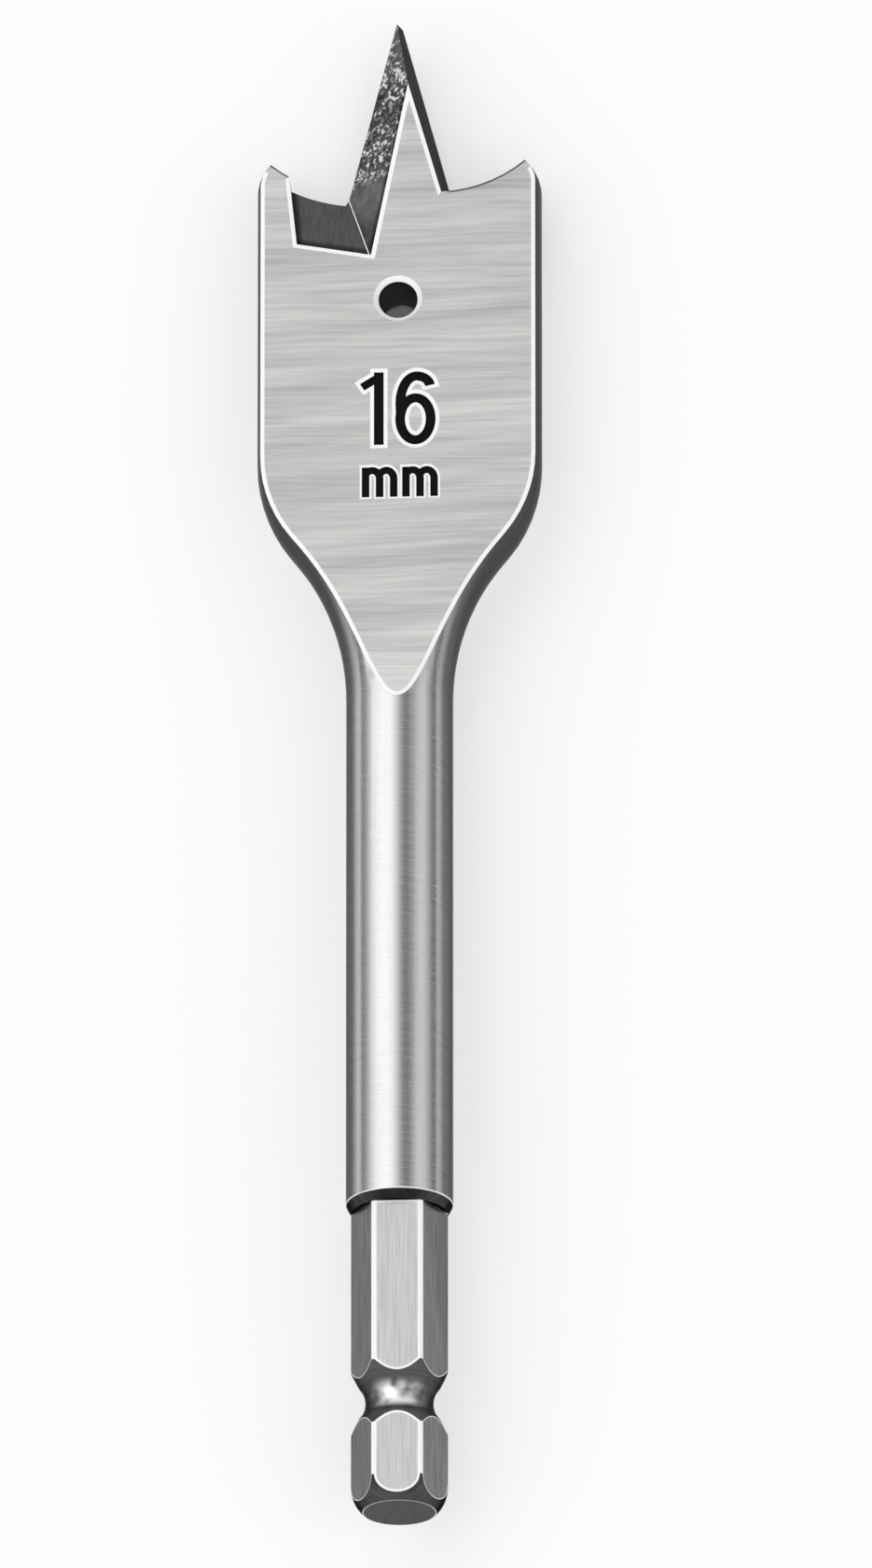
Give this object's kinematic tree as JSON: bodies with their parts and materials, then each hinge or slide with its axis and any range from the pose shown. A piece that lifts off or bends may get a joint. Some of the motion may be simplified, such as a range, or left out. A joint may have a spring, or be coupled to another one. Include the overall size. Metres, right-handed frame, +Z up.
{
  "type": "spade drill bit",
  "caption": "Flat spade drill bit for wood: hex shank end with a ball groove, round shank, flared blade, cutting lips with spurs and a centre point.",
  "frame": {"origin": "on the surface that the bit lies on, under the centre of its box", "axes": "+Y from the hex end to the tip, +Z up, out of the front flat; the bit's own axis is pitched 1.5 degrees tip down, as it comes to rest"},
  "size_m": [0.016, 0.0892, 0.0067],
  "materials": {
    "steel": "ground and brushed steel, satin, with bright bevelled edges"
  },
  "bodies": {
    "root": {"spade_bit": "steel"}
  },
  "joints": []
}
